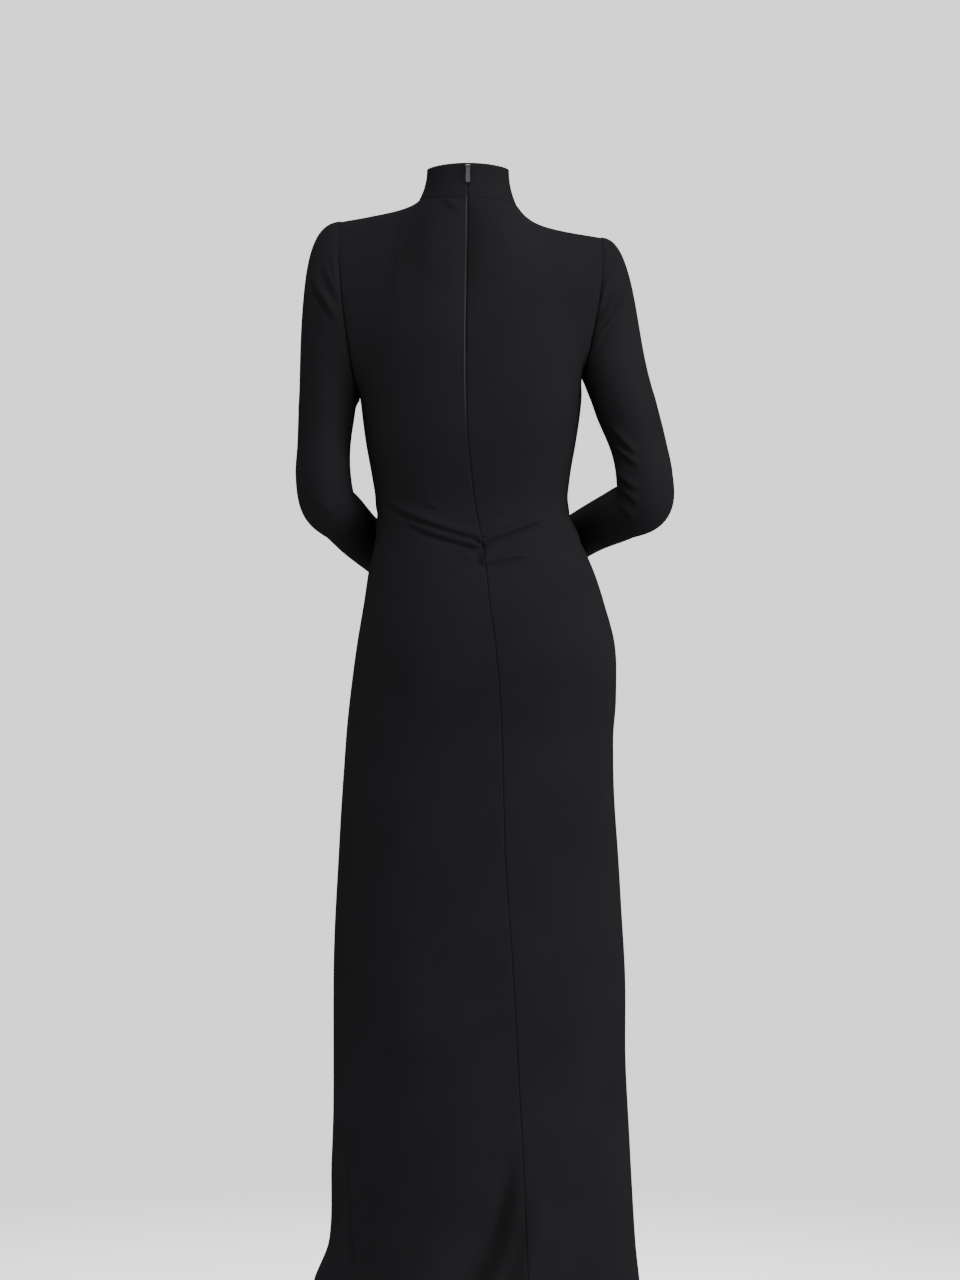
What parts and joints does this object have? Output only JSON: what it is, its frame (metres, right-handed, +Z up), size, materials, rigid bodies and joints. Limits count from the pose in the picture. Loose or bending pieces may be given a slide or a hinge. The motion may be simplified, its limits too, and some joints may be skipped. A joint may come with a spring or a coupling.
{
  "type": "maxi dress",
  "caption": "Long-sleeved, high-neck, floor-length jersey dress, close over the body and flared at the hem, with a centre back zip.",
  "frame": {"origin": "between the shoulders, at the base of the neck, where the wearer carries the dress", "axes": "+Z up along the dress, -Y out of its front, +X to the wearer's left"},
  "size_m": [0.5077, 0.3996, 1.6416],
  "materials": {
    "jersey": "black slinky jersey with a soft low sheen",
    "zip_tape": "matte black woven tape with a fine coil",
    "zip_metal": "black enamelled metal, satin"
  },
  "bodies": {
    "dress": {"back_left": "jersey", "back_right": "jersey", "front": "jersey", "sleeve_left": "jersey", "sleeve_right": "jersey", "collar": "jersey", "zip_tape": "zip_tape", "zip_slider": "zip_metal"},
    "pull": {"zip_pull": "zip_metal"}
  },
  "joints": [
    {"name": "pull_swing", "type": "hinge", "parent": "dress", "child": "pull", "pos_m": [0, 0.04566, 0.05431], "axis": [1, 0, 0], "range_deg": [0, 160]}
  ]
}
